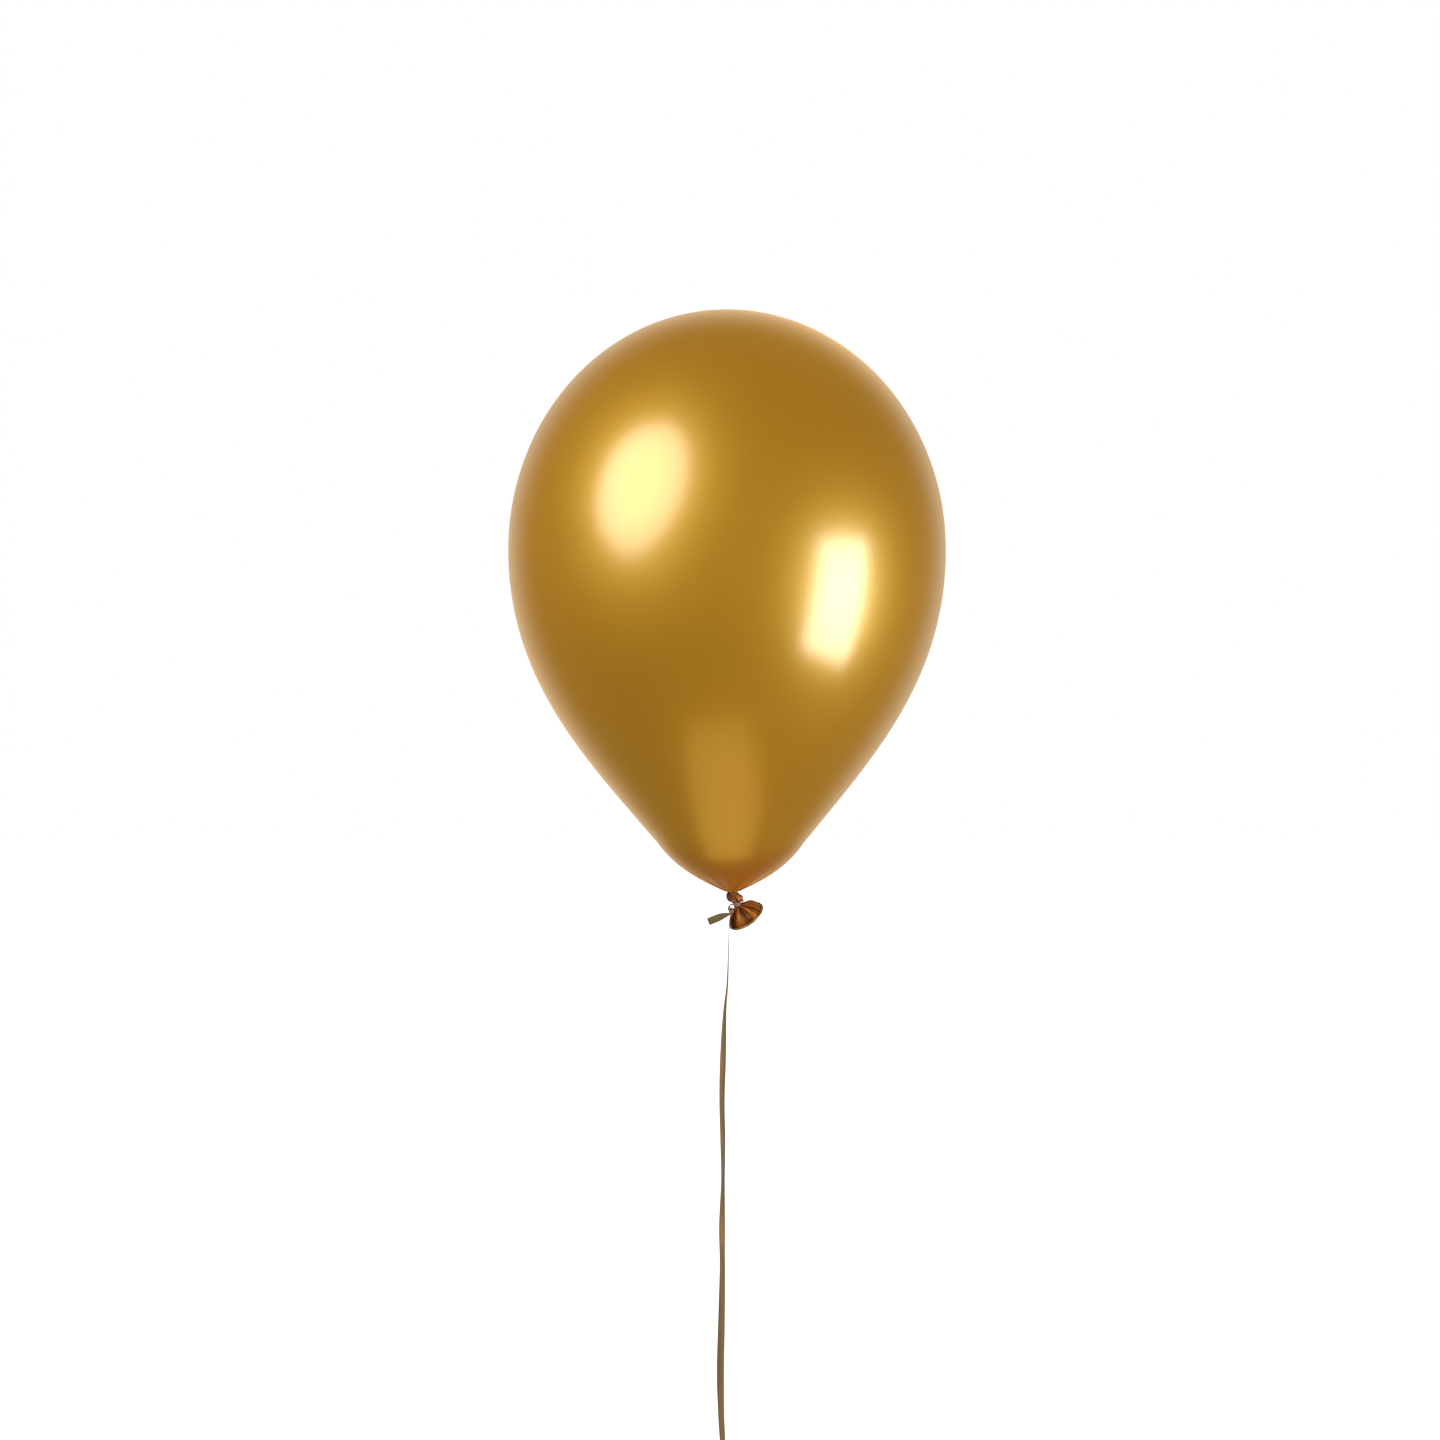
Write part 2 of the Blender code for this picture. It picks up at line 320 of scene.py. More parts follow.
def use_latex_finish(nodes, links, colour, shade, cloud, cloud_scale, peel, with_painted_shade=True):
    """Gives a material the latex finish; where asked, the piece's fold attribute paints shade on it in its
    shade colour.
    """
    values = {"Colour": (*colour, 1), "Shade": (*shade, 1)}
    values.update({"Cloud": cloud, "Cloud Scale": cloud_scale, "Peel": peel})
    finish = use_finish(nodes, links, LATEX_FINISH, values)
    if with_painted_shade:
        # Painted shade: the fold attribute darkens the piece towards its shade colour
        fold = nodes.new("ShaderNodeAttribute")
        fold.attribute_name = "fold"
        links.new(fold.outputs["Fac"], finish.inputs["Painted Shade"])
    return finish


stretched_latex, nodes, links = new_material(
    "stretched_gold_latex",
    {
        "Metallic": 0.12,
        "Specular IOR Level": 1.0,
        "Specular Tint": (0.95, 0.82, 0.08, 1),
        "Coat Weight": 1.0,
        "Coat Roughness": 0.23,
        "Coat IOR": 1.5,
        "Sheen Weight": 0.55,
        "Sheen Roughness": 0.45,
        "Sheen Tint": (1.0, 0.50, 0.03, 1),
    },
)
finish = use_latex_finish(
    nodes, links, GOLD, GOLD_SHADE, cloud=0.25, cloud_scale=14, peel=0.1, with_painted_shade=False
)
height_of = nodes.new("ShaderNodeSeparateXYZ")
links.new(nodes.new("ShaderNodeTexCoord").outputs["Object"], height_of.inputs[0])
thick_neck = map_range(
    nodes,
    links,
    height_of.outputs["Z"],
    {"From Min": NECK_THICK_TOP, "From Max": NECK_THICK_END},
    interpolation="SMOOTHSTEP",
)
neck_colour = mixed(nodes, links, "RGBA", thick_neck, finish.outputs["Colour"], (*GOLD_THICK, 1))
links.new(neck_colour, nodes["Principled BSDF"].inputs["Base Color"])
# The clear gloss of the stretched skin thins out towards the knot
neck_gloss = map_range(
    nodes,
    links,
    height_of.outputs["Z"],
    {"From Min": NECK_DULL_TOP, "From Max": NECK_THICK_END, "To Min": 1.0, "To Max": 0.25},
)
links.new(neck_gloss, nodes["Principled BSDF"].inputs["Coat Weight"])
inflated_skin.data.materials.append(stretched_latex)
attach(inflated_skin, "balloon")
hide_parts("envelope")

# ---------------------------------------------------------------- The knot in the neck
# The neck rolled into a cord, tied in one overhand knot by hand and pulled tight. Unstretched, the
# same latex is thick, orange brown and duller. A short twisted stem leaves the knot for the mouth.
JOINT_AT = {joint["name"]: Vector(joint["pos_m"]) for joint in frame["joints"]}
STEM_AT = JOINT_AT["tie_turn"]
KNOT_CENTRE = Vector((5.2, 0, -375.0)) * MM
KNOT_STRAND_RADIUS = 1.9 * MM
KNOT_STRAND_FOLDS = 4
KNOT_STRAND_TWIST = 0.9
KNOT_FINENESS = 0.16 * MM
KNOT_WRINKLE = 0.12 * MM
KNOT_WRINKLE_SIZE = 1.3 * MM
LATEX_THICK = (0.260, 0.080, 0.016)
# The knot's shade colour, for its random cloud and for its painted shade
LATEX_MOTTLE_AND_PAINTED_SHADE = (0.040, 0.011, 0.004)
# The cord's way through the knot, in millimetres from its centre, and the cord's share of its radius
KNOT_WAY = (
    ((-1.6, 0.2, 5.6), 1.4),
    ((-2.0, 0.0, 3.6), 1.3),
    ((-1.4, -1.9, 1.7), 1.1),
    ((1.2, -2.9, -0.6), 1.05),
    ((3.5, -1.4, -2.5), 1.05),
    ((3.4, 1.6, -1.6), 1.05),
    ((0.6, 3.0, 0.8), 1.1),
    ((-2.9, 1.7, 1.4), 1.15),
    ((-3.6, -0.9, -0.4), 1.15),
    ((-1.8, -1.4, -2.5), 1.05),
    ((0.3, 0.0, -3.2), 0.95),
    ((1.1, 0.1, -4.7), 0.85),
    ((1.4, 0.1, -6.8), 0.8),
)


def rolled_cord(name, way, radius, folds, twist):
    """A cord of rolled latex with lengthwise folds that wind round it, along a smooth way."""
    sides = 32
    outline = bpy.data.curves.new(name + "_outline", "CURVE")
    outline.dimensions = "2D"
    ring = outline.splines.new("POLY")
    ring.points.add(sides - 1)
    for k, point in enumerate(ring.points):
        angle = 2 * math.pi * k / sides
        reach = radius * (1 + 0.16 * math.cos(folds * angle) + 0.06 * math.cos(2 * angle + 1))
        point.co = (reach * math.cos(angle), reach * math.sin(angle), 0, 1)
    ring.use_cyclic_u = True
    outline_object = bpy.data.objects.new(name + "_outline", outline)
    bpy.context.scene.collection.objects.link(outline_object)
    curve = bpy.data.curves.new(name, "CURVE")
    curve.dimensions = "3D"
    curve.bevel_mode = "OBJECT"
    curve.bevel_object = outline_object
    curve.use_fill_caps = True
    spline = curve.splines.new("NURBS")
    spline.points.add(len(way) - 1)
    spline.order_u = 4
    spline.use_endpoint_u = True
    spline.resolution_u = 10
    for k, (point, (place, share)) in enumerate(zip(spline.points, way)):
        point.co = (*place, 1)
        point.radius = share
        point.tilt = twist * k
    cord = bpy.data.objects.new(name, curve)
    bpy.context.scene.collection.objects.link(cord)
    select_only(cord)
    bpy.ops.object.convert(target="MESH")
    bpy.data.objects.remove(outline_object)
    return bpy.context.object


knot_way = [(KNOT_CENTRE + Vector(place) * MM, share) for place, share in KNOT_WAY]
neck_knot = rolled_cord(
    "rolled_neck_knot", knot_way, KNOT_STRAND_RADIUS, KNOT_STRAND_FOLDS, KNOT_STRAND_TWIST
)
# The crossing strands are merged into one closed skin, which is then smoothed and finely wrinkled
apply_modifier(neck_knot, "REMESH", mode="VOXEL", voxel_size=KNOT_FINENESS)
apply_modifier(neck_knot, "SMOOTH", factor=0.5, iterations=2)
outward = [vertex.normal.copy() for vertex in neck_knot.data.vertices]
for vertex, out in zip(neck_knot.data.vertices, outward):
    stretched = Vector((vertex.co.x, vertex.co.y, 2.2 * vertex.co.z))
    vertex.co += out * KNOT_WRINKLE * noise.noise(stretched / KNOT_WRINKLE_SIZE)
# Painted shade: dark where the skin doesn't face away from the knot's middle, and on the shaded left
knot_painted_shade = []
for vertex, out in zip(neck_knot.data.vertices, outward):
    open_side = out.dot((vertex.co - KNOT_CENTRE).normalized())
    left_side = fade(KNOT_CENTRE.x - vertex.co.x, -0.5 * MM, 3 * MM)
    knot_painted_shade.append(1 - fade(open_side, 0.1, 0.95) + 0.5 * left_side)


def keep_painted_shade(piece, depths):
    """Keeps how much painted shade each point gets, for the latex finish to read."""
    layer = piece.data.attributes.new("fold", "FLOAT", "POINT")
    for value, depth in zip(layer.data, depths):
        value.value = depth


keep_painted_shade(neck_knot, knot_painted_shade)
face_outwards(neck_knot)
thick_latex, nodes, links = new_material(
    "thick_rolled_latex",
    {
        "Metallic": 0.15,
        "Specular IOR Level": 0.35,
        "Specular Tint": (1.0, 0.62, 0.30, 1),
        "Coat Weight": 0.06,
        "Coat Roughness": 0.25,
        "Subsurface Weight": 0.10,
        "Subsurface Scale": 0.6 * MM,
    },
)
use_latex_finish(nodes, links, LATEX_THICK, LATEX_MOTTLE_AND_PAINTED_SHADE, cloud=0.5, cloud_scale=320, peel=0.8)
neck_knot.data.materials.append(thick_latex)
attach(neck_knot, "balloon")
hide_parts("neck_knot")

# ---------------------------------------------------------------- The flared mouth
# The end of the neck below the knot, never stretched: a flared skirt that the tight stem gathers into
# creases, which run out from the stem and fade towards the rim. It leans to the right and tips back.
MOUTH_AT = JOINT_AT["mouth_tilt"]
MOUTH_TURN = Euler((math.radians(23.6), math.radians(-36), 0)).to_matrix()
MOUTH_RADIUS = 11.6 * MM
MOUTH_DEPTH = 8.6 * MM
MOUTH_SIDES = 144
MOUTH_SKIN = 0.35 * MM
# The waves that add up to the gathers round the mouth: share, number round, and where each starts
MOUTH_WAVES = ((0.5, 9, 0), (0.35, 14, 2.1), (0.15, 5, 0.8))
MOUTH_GATHER = 0.30
MOUTH_LIFT = 0.60 * MM
RIM_GATHER = 0.012
RIM_LIFT = 0.25 * MM
MOUTH_LATEX = (0.360, 0.098, 0.010)
# The mouth's shade colour, for its random cloud and for its painted shade
MOUTH_MOTTLE_AND_PAINTED_SHADE = (0.055, 0.010, 0.002)


def mouth_wave(angle):
    """How far the gathered latex stands in or out round the mouth, from -1 to 1."""
    bend = angle + 0.35 * math.sin(2 * angle + 0.6)
    return sum(share * math.cos(count * bend + start) for share, count, start in MOUTH_WAVES)


def gather(point, strength, lift):
    """A point of the mouth, in its own upright frame, pushed in or out by the gathers."""
    wave = mouth_wave(math.atan2(point.y, point.x))
    spread = 1 + strength * wave
    return Vector((point.x * spread, point.y * spread, point.z + lift * wave))


mouth_outline = [Vector(millimetres((1.2, 1.2))), Vector(millimetres((1.4, 0.2)))]
mouth_outline += curved_span(
    mouth_outline[-1],
    millimetres((3.4, -1.0)),
    millimetres((10.0, -2.8)),
    (MOUTH_RADIUS, -MOUTH_DEPTH),
    steps=18,
)
mouth_flare = turned_shell("flared_mouth", mouth_outline, MOUTH_SIDES)
# Painted shade: darker in the valleys of the gathers, more near the stem, and towards the shaded left
mouth_painted_shade = []
for vertex in mouth_flare.data.vertices:
    reach = math.hypot(vertex.co.x, vertex.co.y) / MOUTH_RADIUS
    valley = 0.5 - 0.9 * mouth_wave(math.atan2(vertex.co.y, vertex.co.x))
    mouth_painted_shade.append(valley * (1.1 - 0.4 * reach) + 0.40 * fade(-vertex.co.x, 2 * MM, 10 * MM))
    strength = MOUTH_GATHER * (1 - fade(reach, 0.25, 1.2)) * fade(reach, 0.0, 0.12) + RIM_GATHER
    lift = MOUTH_LIFT * math.sin(math.pi * min(reach, 1)) + RIM_LIFT * reach**2
    vertex.co = MOUTH_AT + MOUTH_TURN @ gather(vertex.co, strength, lift)
keep_painted_shade(mouth_flare, mouth_painted_shade)
apply_modifier(mouth_flare, "SOLIDIFY", thickness=MOUTH_SKIN, offset=-1)
apply_modifier(mouth_flare, "SUBSURF", levels=1, render_levels=1)
face_outwards(mouth_flare)
creased_latex, nodes, links = new_material(
    "creased_mouth_latex",
    {
        "Metallic": 0.12,
        "Specular IOR Level": 0.30,
        "Specular Tint": (1.0, 0.60, 0.25, 1),
        "Coat Weight": 0.05,
        "Coat Roughness": 0.2,
        "Subsurface Weight": 0.12,
        "Subsurface Scale": 0.8 * MM,
    },
)
use_latex_finish(nodes, links, MOUTH_LATEX, MOUTH_MOTTLE_AND_PAINTED_SHADE, cloud=0.45, cloud_scale=260, peel=0.6)
mouth_flare.data.materials.append(creased_latex)
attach(mouth_flare, "mouth")
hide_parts("mouth_skirt")

# The rolled rim: the edge of the mouth, rolled up on itself when the balloon is made, so that it is
# a firm ring. It follows the waves of the skirt, and is the thickest and most olive of the latex.
RIM_THICKNESS = 0.72 * MM
RIM_RADIUS = MOUTH_RADIUS + 0.5 * RIM_THICKNESS
RIM_HEIGHT = -MOUTH_DEPTH - 0.3 * RIM_THICKNESS
RIM_SPREAD = 0.015
RIM_LUMP = 0.12
RIM_LUMP_SIZE = 1.6 * MM
RIM_GROOVE = 0.1
RIM_LATEX = (0.165, 0.100, 0.018)
RIM_SHADE = (0.075, 0.035, 0.008)
bpy.ops.object.select_all(action="DESELECT")
bpy.ops.mesh.primitive_torus_add(
    major_segments=MOUTH_SIDES,
    minor_segments=20,
    major_radius=RIM_RADIUS,
    minor_radius=RIM_THICKNESS,
    location=(0, 0, RIM_HEIGHT),
)
mouth_rim = bpy.context.object
mouth_rim.name = "rolled_mouth_rim"
bpy.ops.object.transform_apply(location=True)
for vertex in mouth_rim.data.vertices:
    angle = math.atan2(vertex.co.y, vertex.co.x)
    middle = Vector((math.cos(angle), math.sin(angle), 0)) * RIM_RADIUS
    middle.z = RIM_HEIGHT
    around = vertex.co - middle
    roll = math.atan2(around.z, math.hypot(vertex.co.x, vertex.co.y) - RIM_RADIUS)
    groove = max(0, math.cos(3 * roll + 4 * angle)) ** 6
    lump = 1 + RIM_LUMP * noise.noise(middle / RIM_LUMP_SIZE) - RIM_GROOVE * groove
    vertex.co = MOUTH_AT + MOUTH_TURN @ gather(middle + around * lump, RIM_SPREAD, RIM_LIFT)
face_outwards(mouth_rim)
rolled_latex, nodes, links = new_material(
    "rolled_rim_latex",
    {
        "Metallic": 0.15,
        "Specular Tint": (1.0, 0.80, 0.35, 1),
        "Coat Weight": 0.15,
        "Coat Roughness": 0.25,
    },
)
use_latex_finish(
    nodes, links, RIM_LATEX, RIM_SHADE, cloud=0.7, cloud_scale=220, peel=0.6, with_painted_shade=False
)
mouth_rim.data.materials.append(rolled_latex)
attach(mouth_rim, "mouth")
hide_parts("mouth_bead")

# ---------------------------------------------------------------- The hanging ribbon
# Curling ribbon: a tape of ribbed polypropylene, 4.8 mm wide and a tenth of a millimetre thick. It
# hangs from its knot below the stem, held taut from below, and turns on itself as it goes down.
RIBBON_WIDTH = 4.8 * MM
RIBBON_THICKNESS = 0.12 * MM
RIBBON_COLOUR = (0.094, 0.062, 0.023)
# The pale colour of the ribbon's painted sheen streaks
RIBBON_PAINTED_SHEEN = (0.160, 0.118, 0.058)
RIBBON_WARM = (0.200, 0.075, 0.018)
RUN_SPACING = 1.2 * MM
RUN_PINCH_TOP = 10
RUN_PINCH_END = 8
# The ribbon's way down in millimetres, with the turn of its face away from the front, in degrees
RIBBON_WAY = (
    ((2.5, -2.4, -386.1), 84),
    ((1.6, -2.6, -390.0), 86),
    ((1.2, -2.7, -397.0), 88),
    ((0.6, -2.0, -414.0), 88),
    ((0.0, -1.0, -432.0), 81),
    ((-1.5, 0.4, -450.0), 63),
    ((-2.6, 1.5, -480.0), 38),
    ((-3.2, 2.4, -506.0), 45),
    ((-2.7, 3.0, -532.0), 49),
    ((-2.6, 2.7, -557.0), 60),
    ((-3.2, 1.8, -586.0), 38),
    ((-3.0, 0.6, -612.0), 45),
    ((-3.5, -0.6, -645.0), 27),
    ((-4.2, -1.2, -678.0), 12),
    ((-3.8, -0.8, -704.0), 32),
    ((-2.9, -0.2, -724.0), 44),
    ((-2.4, 0.0, -738.5), 56),
)


def smooth_way(places, spacing):
    """Even points on a smooth line through these places; any further numbers follow along."""
    ends = [2 * places[0] - places[1], *places, 2 * places[-1] - places[-2]]
    fine, fine_steps = [], 24
    for p0, p1, p2, p3 in zip(ends, ends[1:], ends[2:], ends[3:]):
        for step in range(fine_steps):
            t = step / fine_steps
            bend = 2 * p0 - 5 * p1 + 4 * p2 - p3
            twist = 3 * (p1 - p2) + p3 - p0
            fine.append(p1 + t * (p2 - p0) / 2 + t * t * bend / 2 + t**3 * twist / 2)
    fine.append(places[-1])
    steps = [(b.xyz - a.xyz).length for a, b in zip(fine, fine[1:])]
    count = round(sum(steps) / spacing)
    points, walked, target = [fine[0]], 0, sum(steps) / count
    for a, b, step in zip(fine, fine[1:], steps):
        while walked + step >= target and len(points) < count:
            points.append(a.lerp(b, (target - walked) / step))
            target += sum(steps) / count
        walked += step
    return [*points, fine[-1]]


def way_from(origin, way, spacing):
    """Even points on a smooth line through a way given in millimetres from this origin."""
    places = [Vector((*(origin + Vector(place) * MM), 0)) for place in way]
    return [point.xyz for point in smooth_way(places, spacing)]


def ribbon_band(name, middle, facing, widths, fold):
    """A closed flat band, with its middle line, the way its face looks, its width and its fold.

    The fold is the height of the arch across the band, as a share of its width. The texture map
    runs across the band from 0 to 1 and along it in metres.
    """
    across_points = 9
    vertices, faces, uvs = [], [], []
    run = 0
    for k, point in enumerate(middle):
        ahead = (middle[min(k + 1, len(middle) - 1)] - middle[max(k - 1, 0)]).normalized()
        face = (facing[k] - ahead * facing[k].dot(ahead)).normalized()
        across = ahead.cross(face)
        run += (point - middle[k - 1]).length if k else 0
        section = []
        for side in (1, -1):
            for step in range(across_points):
                u = side * (2 * step / (across_points - 1) - 1)
                arch = fold[k] * (1 - abs(u) ** 1.5) * widths[k]
                edge = math.sqrt(max(0, 1 - u**6))
                section.append((u, arch + side * RIBBON_THICKNESS / 2 * (0.35 + 0.65 * edge)))
        for u, rise in section:
            vertices.append(point + across * u * widths[k] / 2 + face * rise)
            uvs.append((u / 2 + 0.5, run))
    ring = 2 * across_points
    for k in range(len(middle) - 1):
        for step in range(ring):
            nxt = (step + 1) % ring
            faces.append((k * ring + step, k * ring + nxt, (k + 1) * ring + nxt, (k + 1) * ring + step))
    faces.append(tuple(reversed(range(ring))))
    faces.append(tuple(range(len(vertices) - ring, len(vertices))))
    mesh = bpy.data.meshes.new(name)
    mesh.from_pydata(vertices, [], faces)
    layer = mesh.uv_layers.new(name="ribbon_length")
    for loop in mesh.loops:
        layer.data[loop.index].uv = uvs[loop.vertex_index]
    band = bpy.data.objects.new(name, mesh)
    bpy.context.scene.collection.objects.link(band)
    face_outwards(band)
    return band


ribbon_places = [Vector((*(Vector(place) * MM), math.radians(turn))) for place, turn in RIBBON_WAY]
ribbon_line = smooth_way(ribbon_places, RUN_SPACING)
run_middle = [point.xyz for point in ribbon_line]
run_facing = [Vector((math.sin(point.w), -math.cos(point.w), 0)) for point in ribbon_line]
run_widths, run_fold = [], []
for k, point in enumerate(ribbon_line):
    pinch = fade(k, 0, RUN_PINCH_TOP) * fade(len(ribbon_line) - 1 - k, 0, RUN_PINCH_END)
    run_widths.append(RIBBON_WIDTH * (0.35 + 0.65 * pinch))
    run_fold.append(0.05 + 0.09 * math.sin(point.z / (31 * MM)) ** 2 + 0.12 * (1 - pinch))
ribbon_run = ribbon_band("hanging_ribbon", run_middle, run_facing, run_widths, run_fold)


def ribbon_ribs_group():
    """Fine lengthwise ribs, streaks of painted sheen and of changing gloss that follow the ribbon, and a
    slow drift of its colour.
    """
    group, start, end = finish_group("ribbon_ribs", ("Colour", "Painted Sheen", "Warm"), ("Relief",))
    nodes, links = group.nodes, group.links
    length_map = nodes.new("ShaderNodeUVMap")
    length_map.uv_map = "ribbon_length"
    place = length_map.outputs["UV"]
    streak_place = nodes.new("ShaderNodeMapping")
    streak_place.inputs["Scale"].default_value = (9, 60, 1)
    links.new(place, streak_place.inputs["Vector"])
    streak = noise_texture(nodes, links, streak_place.outputs["Vector"], detail=4).outputs["Fac"]
    drift_place = nodes.new("ShaderNodeMapping")
    drift_place.inputs["Scale"].default_value = (1.2, 22, 1)
    drift_place.inputs["Location"].default_value = (0.3, 1.1, 0)
    links.new(place, drift_place.inputs["Vector"])
    drift = noise_texture(nodes, links, drift_place.outputs["Vector"], detail=1).outputs["Fac"]
    warmth = map_range(nodes, links, drift, {"From Min": 0.52, "From Max": 0.70})
    warmed = mixed(nodes, links, "RGBA", warmth, start.outputs["Colour"], start.outputs["Warm"])
    # Painted sheen: pale streaks along the ribbon stand in for its glints
    painted_sheen_share = map_range(nodes, links, streak, {"From Min": 0.45, "From Max": 0.85, "To Max": 0.6})
    sheen_streaked = mixed(nodes, links, "RGBA", painted_sheen_share, warmed, start.outputs["Painted Sheen"])
    links.new(sheen_streaked, end.inputs["Colour"])
    gloss = map_range(nodes, links, streak, {"To Min": 0.40, "To Max": 0.58})
    links.new(gloss, end.inputs["Roughness"])
    ribs = nodes.new("ShaderNodeTexWave")
    ribs.bands_direction = "X"
    ribs.inputs["Scale"].default_value = 4.5
    links.new(place, ribs.inputs["Vector"])
    normal = bumped(nodes, links, start.outputs["Relief"], ribs.outputs["Fac"], 0.04 * MM)
    links.new(normal, end.inputs["Normal"])
    return group


RIBBON_RIBS = ribbon_ribs_group()


def ribbon_material(name, colour, painted_sheen, relief):
    material, nodes, links = new_material(
        name, {"Specular IOR Level": 0.14, "Specular Tint": (1.0, 0.85, 0.6, 1)}
    )
    values = {"Colour": (*colour, 1), "Painted Sheen": (*painted_sheen, 1), "Warm": (*RIBBON_WARM, 1), "Relief": relief}
    use_finish(nodes, links, RIBBON_RIBS, values)
    return material


champagne_ribbon = ribbon_material("champagne_curling_ribbon", RIBBON_COLOUR, RIBBON_PAINTED_SHEEN, relief=0.6)
ribbon_run.data.materials.append(champagne_ribbon)
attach(ribbon_run, "ribbon")
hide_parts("ribbon_run")

# ---------------------------------------------------------------- The ribbon's tie on the stem
# The ribbon, crushed narrow, goes twice round the stem between the knot and the mouth, and is tied
# in front of it and to the left in an overhand knot with slack, shiny bights standing off the stem.
WRAP_TURNS = 2.1
WRAP_STEPS = 96
WRAP_RADIUS = 2.0 * MM
WRAP_WIDTH = 1.7 * MM
CRUSHED_COLOUR = (0.17, 0.10, 0.045)
# The pale colour of the crushed ribbon's painted glints
CRUSHED_PAINTED_SHEEN = (0.60, 0.50, 0.34)
wrap_middle, wrap_facing, wrap_widths = [], [], []
for step in range(WRAP_STEPS + 1):
    share = step / WRAP_STEPS
    angle = math.pi + 2 * math.pi * WRAP_TURNS * share
    out = Vector((math.cos(angle), math.sin(angle), 0))
    reach = WRAP_RADIUS * (1 + 0.10 * math.sin(2.3 * angle))
    rise = (1.1 - 2.2 * share + 0.25 * math.sin(1.7 * angle)) * MM
    wrap_middle.append(STEM_AT + out * reach + Vector((0, 0, rise)))
    wrap_facing.append(out + Vector((0, 0, 0.3 * math.sin(3 * angle))))
    wrap_widths.append(WRAP_WIDTH * (1 + 0.15 * math.sin(0.4 * step)))
wrap_fold = [0.12] * len(wrap_middle)
ribbon_turns = ribbon_band("ribbon_turns_on_stem", wrap_middle, wrap_facing, wrap_widths, wrap_fold)
knotted_ribbon = ribbon_material("crushed_curling_ribbon", CRUSHED_COLOUR, CRUSHED_PAINTED_SHEEN, relief=0.8)
ribbon_turns.data.materials.append(knotted_ribbon)
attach(ribbon_turns, "tie")
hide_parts("ribbon_wrap")

TIE_AT = JOINT_AT["ribbon_swing"]
# The way of the tie's knot and bights, in millimetres from the middle of the knot
TIE_WAY = (
    (2.0, 0.9, 3.2),
    (0.2, 0.2, 4.0),
    (-1.5, 0.0, 2.6),
    (-1.7, -0.5, 0.2),
    (-0.8, -1.0, -1.3),
    (0.0, -0.9, -0.9),
    (0.4, -0.3, 0.5),
    (0.3, 0.4, 1.3),
    (-0.9, 0.6, 0.5),
    (-1.0, 0.2, -0.9),
    (-0.1, -0.3, -2.2),
)
tie_middle = way_from(TIE_AT, TIE_WAY, 0.35 * MM)
tie_facing = [point - TIE_AT - Vector((0, 2.2, 0.6)) * MM for point in tie_middle]
tie_widths = [(1.5 + 0.35 * math.sin(0.5 * k)) * MM for k in range(len(tie_middle))]
tie_fold = [0.1] * len(tie_middle)
tie_knot = ribbon_band("ribbon_tie_knot", tie_middle, tie_facing, tie_widths, tie_fold)
tie_knot.data.materials.append(knotted_ribbon)
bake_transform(tie_knot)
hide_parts("ribbon_knot")

# The cut end of the ribbon that the tie leaves over. It springs out to the left, pinched and folded
# at the knot and flat at its scissor cut, with a slight bow and a slight twist.
TAIL_AT = JOINT_AT["tail_flick"]
# The tail's way, in millimetres from its root
TAIL_WAY = (
    (0.8, 0.6, 0.4),
    (-1.2, 0.1, -0.2),
    (-4.0, -0.1, -1.0),
    (-8.0, 0.2, -2.5),
    (-14.2, 0.9, -5.1),
)
tail_middle = way_from(TAIL_AT, TAIL_WAY, 0.4 * MM)
tail_facing, tail_widths, tail_fold = [], [], []
for k in range(len(tail_middle)):
    share = k / (len(tail_middle) - 1)
    tail_facing.append(Vector((-0.15, -1, 0.55 - 0.75 * share)))
    tail_widths.append(RIBBON_WIDTH * (0.22 + 0.75 * fade(share, -0.1, 0.58)))
    tail_fold.append(0.3 * (1 - fade(share, 0, 0.9)) + 0.03)
ribbon_tail = ribbon_band("ribbon_cut_tail", tail_middle, tail_facing, tail_widths, tail_fold)
ribbon_tail.data.materials.append(champagne_ribbon)
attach(ribbon_tail, "tail")
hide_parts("ribbon_tail")

# ---------------------------------------------------------------- The hand loop
# At the bottom the ribbon is doubled back and tied to itself, which leaves a loop for a hand or a
# hook and a short cut end. The ribbon's flat lies across the loop, as it does round a finger.
LOOP_AT = JOINT_AT["loop_swing"]
LOOP_HALF_WIDTH = 16 * MM
LOOP_LENGTH = 51 * MM
LOOP_DROP = 0.8 * MM
LOOP_STEPS = 140
LOOP_PINCH_STEPS = 16
LOOP_OPENING = 0.012
loop_middle, loop_facing, loop_widths = [], [], []
for step in range(LOOP_STEPS + 1):
    angle = 2 * math.pi * (LOOP_OPENING + (1 - 2 * LOOP_OPENING) * step / LOOP_STEPS)
    place = Vector((
        LOOP_HALF_WIDTH * math.sin(angle) * math.sin(angle / 2),
        0.5 * MM * math.cos(angle / 2),
        -LOOP_DROP - LOOP_LENGTH * (1 - math.cos(angle)) / 2,
    ))
    loop_middle.append(LOOP_AT + place)
    loop_facing.append(place + Vector((0, 0, 0.62 * LOOP_LENGTH)) + Vector((0, 0.2, 0)) * place.x)
    pinch = fade(step, 0, LOOP_PINCH_STEPS) * fade(LOOP_STEPS - step, 0, LOOP_PINCH_STEPS)
    loop_widths.append(RIBBON_WIDTH * (0.4 + 0.6 * pinch))
loop_fold = [0.04] * len(loop_middle)
hand_loop = ribbon_band("ribbon_hand_loop", loop_middle, loop_facing, loop_widths, loop_fold)
hand_loop.data.materials.append(champagne_ribbon)
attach(hand_loop, "loop")
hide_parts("hand_loop")

